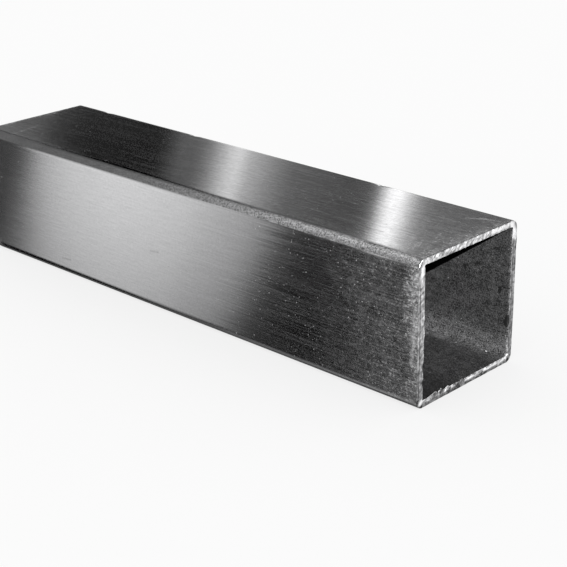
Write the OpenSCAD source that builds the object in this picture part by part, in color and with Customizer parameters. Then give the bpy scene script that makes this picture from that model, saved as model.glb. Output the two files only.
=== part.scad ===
// Square steel tube: a short saw-cut length of cold-formed, seam-welded square hollow section.
// It lies along X on one flat side. The origin is under its middle, on the surface it lies on.
// All sizes are in millimetres.

/* [Section] */
// Outside width and height of the square section
side = 40; // [20:1:100]
// Thickness of the rolled wall
wall = 2; // [1:0.1:5]
// Inside radius of the four rolled corners, which the outside radius follows
inside_radius = 0.5; // [0.3:0.1:4]

/* [Length] */
// Length between the two saw cuts
cut_length = 175; // [60:5:3000]

/* [Weld seam] */
// Width of the trimmed weld bead on the inside of the front wall
seam_width = 3; // [1:0.5:5]
// Height that trimming leaves of the bead above the inside wall
seam_height = 0.25; // [0.1:0.05:0.8]

/* [Hidden] */
$fn = 96;
// Bending keeps the wall's thickness, so both arcs of a corner share one centre
outside_radius = inside_radius + wall;
hollow_side = side - 2 * wall;
// A cut runs past the face that it cuts
past = 1;
// The bead's crown is the arc that has its width as chord and its height as rise
seam_radius = (pow(seam_width / 2, 2) + pow(seam_height, 2)) / (2 * seam_height);
bright_steel = [0.56, 0.56, 0.57];

// A square with true arcs at its corners, centred on the origin
module rolled_square(width, radius) {
    straight = width - 2 * radius;
    square([width, straight], center = true);
    square([straight, width], center = true);
    for (across = [-1, 1], up = [-1, 1])
        translate([across * straight / 2, up * straight / 2])
            circle(r = radius);
}

// The segment of a circle that the trimmed bead leaves on the inside of the front wall
module seam_segment() {
    intersection() {
        translate([-hollow_side / 2 + seam_height - seam_radius, 0])
            circle(r = seam_radius);
        translate([-hollow_side / 2 - wall / 2, -seam_width])
            square([wall / 2 + seam_height + past, 2 * seam_width]);
    }
}

// The section as it leaves the forming rolls: a wall all round, and the weld bead inside it
module rolled_section() {
    difference() {
        rolled_square(side, outside_radius);
        rolled_square(hollow_side, inside_radius);
    }
    seam_segment();
}

// Stands a section drawn in X and Y on its lower edge, and runs it along X
module run_along_x(run) {
    translate([-run / 2, 0, side / 2])
        rotate([90, 0, 90])
            linear_extrude(height = run)
                children();
}

module tube() {
    color(bright_steel)
        run_along_x(cut_length)
            rolled_section();
}

tube();
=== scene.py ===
"""A short length of square steel tube, brushed on its flats and raw at its saw cuts, on a pale floor."""
import logging
import math
from dataclasses import dataclass, fields
from enum import IntEnum
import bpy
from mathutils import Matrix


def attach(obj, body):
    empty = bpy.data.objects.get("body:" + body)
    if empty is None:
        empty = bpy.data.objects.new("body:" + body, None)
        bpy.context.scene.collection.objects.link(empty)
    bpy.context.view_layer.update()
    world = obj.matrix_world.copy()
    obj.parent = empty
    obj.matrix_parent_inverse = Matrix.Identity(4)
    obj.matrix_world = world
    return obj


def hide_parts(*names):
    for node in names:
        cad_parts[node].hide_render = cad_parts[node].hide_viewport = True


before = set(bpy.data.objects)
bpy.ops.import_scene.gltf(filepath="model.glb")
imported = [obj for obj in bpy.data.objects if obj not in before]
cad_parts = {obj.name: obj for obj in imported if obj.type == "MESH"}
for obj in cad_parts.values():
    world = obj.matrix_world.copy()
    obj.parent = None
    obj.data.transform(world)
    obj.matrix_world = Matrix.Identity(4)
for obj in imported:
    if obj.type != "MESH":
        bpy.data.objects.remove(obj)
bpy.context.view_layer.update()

from types import SimpleNamespace
from typing import Callable, ClassVar, Optional, Union

import bpy
import numpy as np
from mathutils import Euler, Vector

LOG = logging.getLogger("square_tube")
MM = 0.001
BODY = "root"
Field = np.ndarray
Point = tuple[float, float, float]
PerWall = tuple[float, float, float, float]
# A span is two limits, a ramp is a span and the numbers at its ends, and a gain is a slope and a start
Span = tuple[float, float]
Ramp = tuple[float, float, float, float]
Gain = tuple[float, float]
Stops = tuple[tuple[float, float], ...]
Number = Union["Signal", float]
Looks = dict[str, object]


@dataclass(frozen=True)
class Stock:
    """The sizes of the square tube, which its mesh, finishes and studio share."""

    half_length: float = 87.5 * MM
    half_side: float = 20.0 * MM
    wall: float = 2.0 * MM
    outside_radius: float = 2.5 * MM

    @property
    def half_flat(self) -> float:
        """Half the straight length of one wall."""
        return self.half_side - self.outside_radius


STOCK = Stock()


def smooth(value: Field, low: float, high: float) -> Field:
    """Rises smoothly from 0 to 1 between two limits, or falls where low is above high."""
    share = np.clip((value - low) / (high - low), 0.0, 1.0)
    return share * share * (3.0 - 2.0 * share)


class Wall(IntEnum):
    """The four walls of the section, in the order in which its outline runs."""

    FRONT = 0
    TOP = 1
    BACK = 2
    BOTTOM = 3


class Region(IntEnum):
    """Surface regions of the tube, which are also its material slots."""

    UPRIGHT = 0
    LEVEL = 1
    CORNER = 2
    INSIDE = 3
    SAW_CUT = 4


class Side(IntEnum):
    """The two ends of the tube, by the sign of X."""

    NEAR = 1
    FAR = -1


@dataclass(frozen=True)
class Roughcast:
    """A smooth random field over two lengths, the same on every run, that repeats after its cells."""

    seed: int
    cells: int = 128

    def sample(self, along: Field, across: Field) -> Field:
        """Reads the field.

        Args:
            along: First coordinate, in cells.
            across: Second coordinate, in cells.

        Returns:
            Numbers from -1 to 1.
        """
        table = np.random.default_rng(self.seed).uniform(-1.0, 1.0, (self.cells, self.cells))
        column, row = np.floor(along).astype(int), np.floor(across).astype(int)
        right, up = smooth(along - column, 0.0, 1.0), smooth(across - row, 0.0, 1.0)
        near, far = column % self.cells, (column + 1) % self.cells
        bottom, top = (table[near, level] * (1.0 - right) + table[far, level] * right
                       for level in (row % self.cells, (row + 1) % self.cells))
        return bottom * (1.0 - up) + top * up


@dataclass(frozen=True)
class Outline:
    """One turn round the section, as arc centres and outward directions in Y and Z, with labels."""

    core: Field
    normal: Field
    wall: Field
    place: Field
    turn: Field

    def on(self, wall: Wall) -> Field:
        """Marks the points of one wall's straight length with 1."""
        return ((self.wall == int(wall)) & (self.turn == 0.0)).astype(float)

    def length_round(self) -> Field:
        """Measures the length along the outer edge up to each point."""
        edge = self.core + self.normal * STOCK.outside_radius
        return np.concatenate([[0.0], np.cumsum(np.linalg.norm(np.diff(edge, axis=0), axis=1))])


@dataclass(frozen=True)
class Section:
    """The rolled section: walls of one thickness round arcs that share their centres."""

    corner_cells: int = 12
    wall_cells: tuple[int, int, int, int] = (118, 104, 88, 74)
    fine_cells: int = 84
    bare_arc: Span = (0.13, 0.84)
    low_bare_from: float = 0.27
    outward: tuple[tuple[float, float], ...] = ((-1.0, 0.0), (0.0, 1.0), (1.0, 0.0), (0.0, -1.0))

    def run(self, wall: Wall) -> Field:
        """Places the cells of one wall along its straight length.

        Args:
            wall: Which wall. The bottom one, whose inner edge carries the burr, has finer cells in
                its front half.

        Returns:
            Places from -1 to 1, without the last one.
        """
        cells = self.wall_cells[wall]
        if wall is not Wall.BOTTOM:
            return np.linspace(-1.0, 1.0, cells, endpoint=False)
        fine = np.linspace(0.0, 1.0, self.fine_cells, endpoint=False)
        return np.concatenate([np.linspace(-1.0, 0.0, cells, endpoint=False), fine])

    def outline(self) -> Outline:
        """Runs once round the section, up the front wall first.

        Returns:
            The outline's arc centres, outward directions and labels.
        """
        steps = np.arange(self.corner_cells) / self.corner_cells
        pieces = []
        for wall in Wall:
            out, onward = np.array(self.outward[wall]), np.array(self.outward[(wall + 1) % 4])
            run = self.run(wall)
            place = np.concatenate([run, np.ones(len(steps))])
            turn = np.concatenate([np.zeros(len(run)), steps])
            angle = (turn * math.pi / 2.0)[:, None]
            core = (out + onward * place[:, None]) * STOCK.half_flat + (0.0, STOCK.half_side)
            normal = out * np.cos(angle) + onward * np.sin(angle)
            pieces.append((core, normal, np.full(len(turn), int(wall)), place, turn))
        return Outline(*(np.concatenate(piece) for piece in zip(*pieces)))


@dataclass(frozen=True)
class Tooth:
    """One tooth of the burr that the saw left on the inner edge of the bottom wall."""

    across: float
    rise: float
    width: float
    lean: float = 0.3

    def height(self, across: Field) -> Field:
        """Works out the tooth's rise.

        Args:
            across: Y of each point.

        Returns:
            Rises, which are 0 beside the tooth.
        """
        from_tip = (across - self.across) / self.width
        steep = 1.0 - self.lean
        flank = np.where(from_tip < 0.0, 1.0 + from_tip * steep, 1.0 - from_tip / steep)
        return self.rise * np.clip(flank, 0.0, 1.0)


@dataclass(frozen=True)
class Bite:
    """One nick in the inner edge of a wall, where the cut broke a piece away."""

    wall: Wall
    along: float
    depth: float
    width: float


@dataclass(frozen=True)
class SawCut:
    """The relief that a saw leaves on one end: strokes, a groove, a torn lip, burr and bites."""

    side: Side
    seed: int
    lay: float = math.radians(35.0)
    stroke_pitches: tuple[float, ...] = (2.1 * MM, 0.95 * MM, 0.5 * MM)
    stroke_depths: tuple[float, ...] = (0.035 * MM, 0.035 * MM, 0.018 * MM)
    stroke_length: float = 9.0 * MM
    stroke_start: float = 40.0
    groove_depth: PerWall = (0.07 * MM, 0.0, 0.04 * MM, 0.03 * MM)
    groove_place: float = 0.75 * MM
    groove_width: float = 0.2 * MM
    lip_step: float = 0.10 * MM
    lip_span: Span = (0.46, 0.58)
    lip_gap_pitch: float = 2.3 * MM
    lip_gap_start: float = 9.0
    lip_gap_seed: int = 7
    lip_gap_span: Span = (0.25, 0.45)
    bow: float = 0.05 * MM
    turned_in: PerWall = (0.1 * MM, -0.1 * MM, -0.1 * MM, 0.0)
    burr: float = 0.09 * MM
    burr_pitch: float = 0.8 * MM
    burr_seed: int = 11
    teeth: tuple[Tooth, ...] = ()
    bites: tuple[Bite, ...] = ()

    def recess(self, across: Field, up: Field, outline: Outline, share: Field) -> Field:
        """Works out how far the cut face lies behind the tube's end plane.

        Args:
            across: Y of each point.
            up: Z of each point.
            outline: The section's outline, for its walls.
            share: Place in the wall, 0 at its outer face and 1 at its inner face.

        Returns:
            Distances, never negative.
        """
        stroke = up * math.cos(self.lay) - across * math.sin(self.lay)
        onward = across * math.cos(self.lay) + up * math.sin(self.lay)
        relief = np.zeros_like(stroke)
        for index, (pitch, depth) in enumerate(zip(self.stroke_pitches, self.stroke_depths)):
            relief += depth * Roughcast(self.seed + index).sample(
                stroke / pitch + self.stroke_start, onward / self.stroke_length + self.stroke_start)
        groove = np.exp(-(((share * STOCK.wall - self.groove_place) / self.groove_width) ** 2))
        relief -= np.array(self.groove_depth)[outline.wall][:, None] * groove
        relief -= self.lip_step * self.lip(stroke, share) * outline.on(Wall.BOTTOM)[:, None]
        relief -= self.bow * smooth(np.abs(up - STOCK.half_side), 0.0, STOCK.half_side)
        return np.clip(-relief + sum(self.stroke_depths), 0.0, None)

    def lip(self, stroke: Field, share: Field) -> Field:
        """Marks what lies below the torn lip on the bottom wall, and its slanted gaps.

        Args:
            stroke: Place across the saw strokes.
            share: Place in the wall, 0 at its outer face and 1 at its inner face.

        Returns:
            Shares that are 1 below the lip and in its gaps.
        """
        places = stroke / self.lip_gap_pitch + self.lip_gap_start
        gaps = Roughcast(self.seed + self.lip_gap_seed).sample(places, 0.0 * stroke)
        return np.maximum(1.0 - smooth(share, *self.lip_span), smooth(gaps, *self.lip_gap_span))

    def edge(self, outline: Outline) -> Field:
        """Works out how far the inner edge stands into the hollow, round the section.

        Args:
            outline: The section's outline.

        Returns:
            Rises into the hollow, negative where a piece broke away.
        """
        places = outline.length_round() / self.burr_pitch
        burr = Roughcast(self.seed + self.burr_seed).sample(places, 0.0 * places)
        turned = np.array(self.turned_in)
        rise = self.burr * np.clip(burr, 0.0, 1.0)
        rise += turned[outline.wall] * (1.0 - outline.turn) + turned[(outline.wall + 1) % 4] * outline.turn
        along = outline.place * STOCK.half_flat
        for tooth in self.teeth:
            # The bottom wall's outline runs towards the front, so its place is the opposite of Y
            rise += tooth.height(-along) * outline.on(Wall.BOTTOM)
        for bite in self.bites:
            from_middle = (along - bite.along) / bite.width
            rise -= bite.depth * np.exp(-(from_middle ** 4)) * outline.on(bite.wall)
        return rise


@dataclass(frozen=True)
class Pit:
    """A small pit or dent in the inside of the back wall."""

    along: float
    up: float
    radius: float
    depth: float


@dataclass(frozen=True)
class Nick:
    """A small nick in the top back corner."""

    along: float
    width: float
    depth: float


@dataclass(frozen=True)
class Grading:
    """Cells that start short at an end and grow inwards up to a limit."""

    first: float
    growth: float
    largest: float

    def over(self, reach: float) -> Field:
        """Spaces the cells.

        Args:
            reach: How far in the cells go.

        Returns:
            Distances from the end, starting at 0 and ending at the reach.
        """
        places, step = [0.0], self.first
        while places[-1] + step < reach:
            places.append(places[-1] + step)
            step = min(step * self.growth, self.largest)
        places[-1] = reach
        return np.array(places)


@dataclass(frozen=True)
class Lengthwise:
    """One loop through the wall: out along the outside, over a cut, back inside, over the other cut."""

    along: Field
    share: Field
    region: Field


@dataclass(frozen=True)
class SquareTube:
    """The tube's own mesh: one closed skin, swept round the section along a loop through the wall."""

    section: Section = Section()
    outer_edge: float = 0.14 * MM
    inner_edge: float = 0.08 * MM
    edge_share: float = 0.3
    edge_turns: tuple[float, ...] = (30.0, 60.0, 90.0)
    cut_cells: tuple[int, int] = (14, 10)
    outside_cells: Grading = Grading(0.12 * MM, 1.27, 4.6 * MM)
    nick_cells: tuple[float, ...] = (-1.0, -0.6, -0.3, 0.0, 0.3, 0.6, 1.0)
    nick_clearance: float = 0.5 * MM
    seen_inside: float = 15.0 * MM
    seen_cells: Grading = Grading(0.1 * MM, 1.3, 0.62 * MM)
    unseen_cells: Grading = Grading(0.7 * MM, 1.35, 6.5 * MM)
    far_cells: Grading = Grading(0.12 * MM, 1.5, 6.5 * MM)
    seam_width: float = 3.0 * MM
    seam_height: float = 0.25 * MM
    wave: float = 0.004 * MM
    wave_length: float = 30.0 * MM
    wave_start: float = 20.0
    wave_seed: int = 5
    wear_share: Span = (0.0, 0.2)
    end_reach: float = 1.2 * MM
    burr_reach: float = 0.25 * MM
    burr_power: float = 1.5
    burr_share: Span = (0.55, 1.0)
    inside_grain: float = 0.012 * MM
    grain_pitch: tuple[float, float] = (1.3 * MM, 0.9 * MM)
    grain_start: float = 70.0
    grain_seed: int = 9
    pit_fall: float = 2.0
    nick_turn: float = 0.4
    nick_half_turn: float = 0.3
    near_cut: SawCut = SawCut(
        side=Side.NEAR,
        seed=21,
        turned_in=(0.32 * MM, -0.22 * MM, -0.32 * MM, 0.0),
        teeth=(
            Tooth(across=-12.2 * MM, rise=0.75 * MM, width=1.6 * MM, lean=0.55),
            Tooth(across=-9.9 * MM, rise=0.85 * MM, width=0.9 * MM, lean=0.4),
            Tooth(across=-7.2 * MM, rise=0.55 * MM, width=0.8 * MM),
            Tooth(across=-4.6 * MM, rise=0.2 * MM, width=1.6 * MM),
            Tooth(across=-1.5 * MM, rise=0.4 * MM, width=0.9 * MM, lean=0.1),
        ),
        bites=(
            Bite(wall=Wall.FRONT, along=-8.6 * MM, depth=0.35 * MM, width=1.0 * MM),
            Bite(wall=Wall.FRONT, along=-13.4 * MM, depth=0.22 * MM, width=0.8 * MM),
            Bite(wall=Wall.FRONT, along=3.0 * MM, depth=0.15 * MM, width=0.7 * MM),
            Bite(wall=Wall.BACK, along=8.1 * MM, depth=0.25 * MM, width=1.3 * MM),
        ),
    )
    far_cut: SawCut = SawCut(side=Side.FAR, seed=57)
    pits: tuple[Pit, ...] = (
        Pit(along=76.5 * MM, up=25.6 * MM, radius=0.9 * MM, depth=0.06 * MM),
        Pit(along=84.1 * MM, up=19.8 * MM, radius=0.8 * MM, depth=0.07 * MM),
        Pit(along=72.6 * MM, up=24.0 * MM, radius=0.6 * MM, depth=0.04 * MM),
    )
    nicks: tuple[Nick, ...] = (
        Nick(along=-73.0 * MM, width=2.2 * MM, depth=0.5 * MM),
        Nick(along=-31.5 * MM, width=2.0 * MM, depth=0.45 * MM),
        Nick(along=44.0 * MM, width=1.4 * MM, depth=0.25 * MM),
    )

    def outside_places(self) -> Field:
        """Places the cells of the outside along X, finer at the ends and round the nicks.

        Returns:
            X of each station, in rising order.
        """
        half = STOCK.half_length - self.outer_edge
        steps = self.outside_cells.over(half)
        places = np.concatenate([-half + steps, half - steps[:-1]])
        offsets = np.array(self.nick_cells)
        extra = np.concatenate([nick.along + nick.width * offsets for nick in self.nicks])
        apart = np.abs(places[:, None] - extra[None, :]).min(axis=1)
        return np.sort(np.concatenate([places[apart > self.nick_clearance], extra]))

    def inside_places(self) -> Field:
        """Places the cells of the inside along X, from the near cut to the far one.

        Returns:
            X of each station, in falling order.
        """
        half, seen = STOCK.half_length - self.inner_edge, self.seen_inside
        beyond = self.unseen_cells.over(half - seen)[1:]
        far = self.far_cells.over(half)[::-1][1:]
        return np.concatenate([half - self.seen_cells.over(seen), half - seen - beyond, far - half])

    def lengthwise(self) -> Lengthwise:
        """Lays out the loop through the wall.

        Returns:
            X and place in the wall of each station, with the region of the cells that follow it.
        """
        half, outer, inner = STOCK.half_length, self.outer_edge, self.inner_edge
        turn = np.radians(self.edge_turns)
        over, under = outer * np.sin(turn), outer * (1.0 - np.cos(turn))
        lead = self.edge_share * inner
        near_cells, far_cells = self.cut_cells
        stretches = (
            (self.outside_places(), 0.0, Region.LEVEL),
            (half - outer + over, under, Region.SAW_CUT),
            (half, np.linspace(outer, STOCK.wall - inner, near_cells)[1:-1], Region.SAW_CUT),
            ([half, half - lead], [STOCK.wall - inner, STOCK.wall - lead], Region.SAW_CUT),
            (self.inside_places(), STOCK.wall, Region.INSIDE),
            ([lead - half, -half], [STOCK.wall - lead, STOCK.wall - inner], Region.SAW_CUT),
            (-half, np.linspace(STOCK.wall - inner, outer, far_cells)[1:-1], Region.SAW_CUT),
            (outer - half - over[::-1], under[::-1], Region.SAW_CUT),
        )
        parts = [np.broadcast_arrays(x, np.divide(depth, STOCK.wall), int(kind))
                 for x, depth, kind in stretches]
        return Lengthwise(*(np.concatenate(part) for part in zip(*parts)))

    def seam(self, outline: Outline) -> Field:
        """Height of the trimmed weld bead on the inside of the front wall, round the section."""
        from_middle = outline.place * STOCK.half_flat / (self.seam_width / 2.0)
        return self.seam_height * np.clip(1.0 - from_middle ** 2, 0.0, None) * outline.on(Wall.FRONT)

    def points(self, outline: Outline, loop: Lengthwise) -> Field:
        """Places every vertex, with the relief of the rolls, the saw and wear.

        Args:
            outline: The turn round the section.
            loop: The loop through the wall.

        Returns:
            An array of outline points by loop stations by 3.
        """
        x = np.tile(loop.along, (len(outline.turn), 1))
        share = np.broadcast_to(loop.share, x.shape)
        inward = smooth(share, *self.burr_share)
        depth = share * STOCK.wall + self.seam(outline)[:, None] * inward
        for cut in (self.near_cut, self.far_cut):
            from_end = np.clip(STOCK.half_length - x * cut.side, 0.0, None)
            ridge = np.exp(-((from_end / self.burr_reach) ** self.burr_power))
            depth += cut.edge(outline)[:, None] * ridge * inward
        depth += self.outside_wear(outline, x) * (1.0 - smooth(share, *self.wear_share))
        depth -= self.inside_pits(outline, x) * (share == 1.0)
        y, z = (outline.core[:, axis, None] + outline.normal[:, axis, None] * (STOCK.outside_radius - depth)
                for axis in (0, 1))
        for cut in (self.near_cut, self.far_cut):
            weight = smooth(STOCK.half_length - x * cut.side, self.end_reach, 0.0)
            x -= cut.side * weight * cut.recess(y, z, outline, share)
        return np.stack([x, y, z], axis=-1)

    def outside_wear(self, outline: Outline, x: Field) -> Field:
        """Depth of the slow waves that rolling leaves in the flats, and of the nicks.

        Args:
            outline: The turn round the section.
            x: X of every vertex.

        Returns:
            Depths below the true outer face.
        """
        round_places = outline.length_round()[:, None] / self.wave_length + 0.0 * x
        places = x / self.wave_length + self.wave_start
        depth = self.wave * (1.0 + Roughcast(self.wave_seed).sample(places, round_places))
        aside = (outline.turn - self.nick_turn) / self.nick_half_turn
        at_top_back = np.exp(-(aside ** 2)) * (outline.wall == int(Wall.TOP))
        for nick in self.nicks:
            dent = np.exp(-(((x - nick.along) / (nick.width / 2.0)) ** 2))
            depth += nick.depth * dent * (at_top_back * (outline.turn > 0.0))[:, None]
        return depth

    def inside_pits(self, outline: Outline, x: Field) -> Field:
        """Depth of the pits in the inside of the back wall, and of its faint unevenness.

        Args:
            outline: The turn round the section.
            x: X of every vertex.

        Returns:
            Depths below the true inner face.
        """
        along, across = self.grain_pitch
        round_places = outline.length_round()[:, None] / across + 0.0 * x
        grain = Roughcast(self.grain_seed).sample(x / along + self.grain_start, round_places)
        depth = self.inside_grain * (1.0 + grain)
        up = STOCK.half_side - outline.place * STOCK.half_flat
        for pit in self.pits:
            far = ((x - pit.along) ** 2 + (up[:, None] - pit.up) ** 2) / pit.radius ** 2
            depth += pit.depth * np.exp(-far * self.pit_fall) * outline.on(Wall.BACK)[:, None]
        return depth

    def mesh(self) -> bpy.types.Mesh:
        """Makes the closed skin with its region on every face.

        Returns:
            A new mesh, in the part's frame.
        """
        outline, loop = self.section.outline(), self.lengthwise()
        grid = self.points(outline, loop)
        rows, stations = grid.shape[:2]
        i, j = np.meshgrid(np.arange(rows), np.arange(stations), indexing="ij")
        right, up = (i + 1) % rows, (j + 1) % stations
        faces = np.stack([i * stations + j, i * stations + up, right * stations + up,
                          right * stations + j], axis=-1).reshape(-1, 4)
        made = bpy.data.meshes.new("square_tube")
        made.from_pydata(grid.reshape(-1, 3).tolist(), [], faces.tolist())
        region = self.regions(outline, loop).reshape(-1).astype(np.int32)
        made.polygons.foreach_set("material_index", region)
        made.polygons.foreach_set("use_smooth", np.ones(len(faces), dtype=bool))
        made.validate()
        made.update()
        return made

    def regions(self, outline: Outline, loop: Lengthwise) -> Field:
        """Names the region of every cell, by what the rolls, the brushes or the saw last touched.

        Args:
            outline: The turn round the section.
            loop: The loop through the wall.

        Returns:
            Regions, of outline points by loop stations.
        """
        section = self.section
        cells = np.tile(loop.region, (len(outline.wall), 1))
        onward = loop.region == np.roll(loop.region, -1)
        outer = loop.region == int(Region.LEVEL)
        upright = np.isin(outline.wall, (Wall.FRONT, Wall.BACK))
        middle = outline.turn + 0.5 / section.corner_cells
        in_turn = (outline.turn > 0.0) | (np.roll(outline.turn, -1) > 0.0)
        # The bare strip starts sooner after an upright wall than it ends before a level one
        risen = np.where(upright, middle, 1.0 - middle)
        at_foot = np.isin(outline.wall, (Wall.BACK, Wall.BOTTOM))
        bare_from = np.where(at_foot, section.low_bare_from, section.bare_arc[0])
        bare = in_turn & (risen > bare_from) & (risen < section.bare_arc[1])
        past_bend = in_turn & (middle > 0.5)
        cells[np.ix_(upright != past_bend, outer)] = int(Region.UPRIGHT)
        cells[np.ix_(bare, outer)] = int(Region.CORNER)
        cells[:, (outer | (loop.region == int(Region.INSIDE))) & ~onward] = int(Region.SAW_CUT)
        return cells


def sign(operation: str, swapped: bool = False) -> Callable[["Signal", Number], "Signal"]:
    """Makes the method behind one sign between two signals, such as + or *.

    Args:
        operation: Blender's name of the sum.
        swapped: Whether the signal stands behind the sign and a plain number before it.

    Returns:
        The method.
    """
    def method(signal: "Signal", other: Number) -> "Signal":
        """Adds the node of the sum."""
        return signal.wires.math(operation, *((other, signal) if swapped else (signal, other)))

    return method


class Signal:
    """What a node puts out. It takes part in sums like a number, and each sum adds a node."""

    def __init__(self, wires: "Wiring", socket: bpy.types.NodeSocket) -> None:
        """Keeps the socket with the wiring of its tree."""
        self.wires = wires
        self.socket = socket

    __add__ = __radd__ = sign("ADD")
    __sub__ = sign("SUBTRACT")
    __rsub__ = sign("SUBTRACT", swapped=True)
    __mul__ = __rmul__ = sign("MULTIPLY")
    __truediv__ = sign("DIVIDE")
    __rtruediv__ = sign("DIVIDE", swapped=True)
    __pow__ = sign("POWER")
    at_least = sign("MAXIMUM")
    at_most = sign("MINIMUM")
    below = sign("LESS_THAN")

    def __abs__(self) -> "Signal":
        """Drops the number's sign."""
        return self.wires.math("ABSOLUTE", self)

    def line(self, slope: Number, start: Number) -> "Signal":
        """Gives the slope times this, plus the start."""
        return self.wires.math("MULTIPLY_ADD", self, slope, start)

    def spread(self, contrast: Number) -> "Signal":
        """Widens a pattern about its middle, and keeps it between 0 and 1."""
        return self.wires.math("MULTIPLY_ADD", self - 0.5, contrast, 0.5, clamp=True)

    def rise(self, low: Number, high: Number, to_low: Number = 0.0, to_high: Number = 1.0) -> "Signal":
        """Maps this smoothly from one range, which may run downwards, to another."""
        ends = {"Value": self, "From Min": low, "From Max": high, "To Min": to_low, "To Max": to_high}
        return self.wires.put("MapRange", ends, "Result", interpolation_type="SMOOTHSTEP", clamp=True)


class Wiring:
    """Places and links the nodes of one tree."""

    def __init__(self, tree: bpy.types.NodeTree) -> None:
        """Starts on a tree, which it empties."""
        self.tree = tree
        tree.nodes.clear()

    def add(self, kind: str, inputs: Optional[Looks] = None, **settings: object) -> bpy.types.Node:
        """Adds a node.

        Args:
            kind: Blender's name of the node type, without its ShaderNode prefix.
            inputs: Signals and plain values for its inputs, by name or number.
            settings: Attributes to set on the node.

        Returns:
            The node.
        """
        node = self.tree.nodes.new(kind if kind.startswith("Node") else f"ShaderNode{kind}")
        for key, value in settings.items():
            setattr(node, key, value)
        for key, value in (inputs or {}).items():
            if isinstance(value, Signal):
                self.tree.links.new(value.socket, node.inputs[key])
            else:
                node.inputs[key].default_value = value
        return node

    def put(self, kind: str, inputs: Looks, output: Union[str, int] = 0, **settings: object) -> Signal:
        """Adds a node and gives one of its outputs."""
        return Signal(self, self.add(kind, inputs, **settings).outputs[output])

    def math(self, operation: str, *values: Number, clamp: bool = False) -> Signal:
        """Works out one number from signals and numbers."""
        return self.put("Math", dict(enumerate(values)), operation=operation, use_clamp=clamp)

    def vector(self, operation: str, *values: object, output: str = "Vector") -> Signal:
        """Works out one vector, or a number such as a length, from signals and vectors."""
        return self.put("VectorMath", dict(enumerate(values)), output, operation=operation)

    def scaled(self, vector: object, factor: Number) -> Signal:
        """Makes a vector or a colour longer or shorter."""
        return self.put("VectorMath", {0: vector, "Scale": factor}, operation="SCALE")

    def blend(self, share: Number, first: Number, second: Number) -> Signal:
        """Mixes two numbers by a share."""
        return self.put("Mix", {0: share, 2: first, 3: second}, data_type="FLOAT", clamp_factor=True)

    def place(self) -> Signal:
        """Gives the surface point in the part's frame, in metres."""
        return self.put("TexCoord", {}, "Object")

    def split(self, kind: str, whole: Signal) -> list[Signal]:
        """Gives the three parts of a vector or a colour, by the kind of node that separates them."""
        return [Signal(self, socket) for socket in self.add(kind, {0: whole}).outputs]

    def spot(self, place: Signal, shift: Signal, *lengths: Signal) -> Signal:
        """Counts a place in a length for each axis, and shifts it."""
        scale = self.put("CombineXYZ", {axis: 1.0 / length for axis, length in zip("XYZ", lengths)})
        return self.vector("ADD", self.vector("MULTIPLY", place, scale), shift)

    def noise(self, spot: Signal, scale: Number = 1.0, detail: Number = 2.0, roughness: float = 0.5,
              output: str = "Fac") -> Signal:
        """Reads fractal noise at a spot."""
        inputs = {"Vector": spot, "Scale": scale, "Detail": detail, "Roughness": roughness}
        return self.put("TexNoise", inputs, output, noise_dimensions="3D")


class Pattern:
    """An effect that finishes share: a node group whose inputs are the fields of a dataclass."""

    groups: ClassVar[dict[type, bpy.types.NodeTree]] = {}
    output_kind: ClassVar[str] = "NodeSocketFloat"

    @staticmethod
    def wire(wires: Wiring, given: SimpleNamespace) -> Signal:
        """Works the effect out from its inputs, which are attributes of what is given."""
        raise NotImplementedError

    @classmethod
    def group(cls) -> bpy.types.NodeTree:
        """Gives the effect's node group, which the first call builds.

        Returns:
            The group.
        """
        if cls not in cls.groups:
            tree = bpy.data.node_groups.new(cls.__name__, "ShaderNodeTree")
            for field in fields(cls):
                kind = "NodeSocketVector" if isinstance(field.default, tuple) else "NodeSocketFloat"
                socket = tree.interface.new_socket(field.name, in_out="INPUT", socket_type=kind)
                socket.default_value = field.default
            tree.interface.new_socket("result", in_out="OUTPUT", socket_type=cls.output_kind)
            wires = Wiring(tree)
            start = wires.add("NodeGroupInput")
            given = {field.name: Signal(wires, start.outputs[field.name]) for field in fields(cls)}
            wires.add("NodeGroupOutput", {0: cls.wire(wires, SimpleNamespace(**given))})
            cls.groups[cls] = tree
        return cls.groups[cls]

    def draw(self, wires: Wiring, **over: Signal) -> Signal:
        """Places the effect with this pattern's own values.

        Args:
            wires: Wiring of the tree that shows it.
            over: Signals that take the place of some values.

        Returns:
            The effect's signal.
        """
        values = {field.name: getattr(self, field.name) for field in fields(self)}
        return wires.put("Group", {**values, **over}, node_tree=self.group())


@dataclass(frozen=True)
class BrushLines(Pattern):
    """Fine lines along the tube, as brushing and rolling leave them, from 0 to 1."""

    length: float = 0.03
    width: float = 0.0004
    contrast: float = 1.0
    detail: float = 2.0
    shift: float = 0.0

    @staticmethod
    def wire(wires: Wiring, given: SimpleNamespace) -> Signal:
        """Stretches noise along the tube."""
        spot = wires.spot(wires.place(), given.shift, given.length, given.width, given.width)
        return wires.noise(spot, detail=given.detail, roughness=0.6).spread(given.contrast)


@dataclass(frozen=True)
class Grain(Pattern):
    """An even grain of one pitch, as scale and rough metal show, from 0 to 1."""

    pitch: float = 0.0005
    contrast: float = 1.0
    shift: float = 0.0

    @staticmethod
    def wire(wires: Wiring, given: SimpleNamespace) -> Signal:
        """Reads noise of one pitch."""
        spot = wires.vector("ADD", wires.place(), given.shift)
        return wires.noise(spot, 1.0 / given.pitch, detail=3.0, roughness=0.65).spread(given.contrast)


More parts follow.
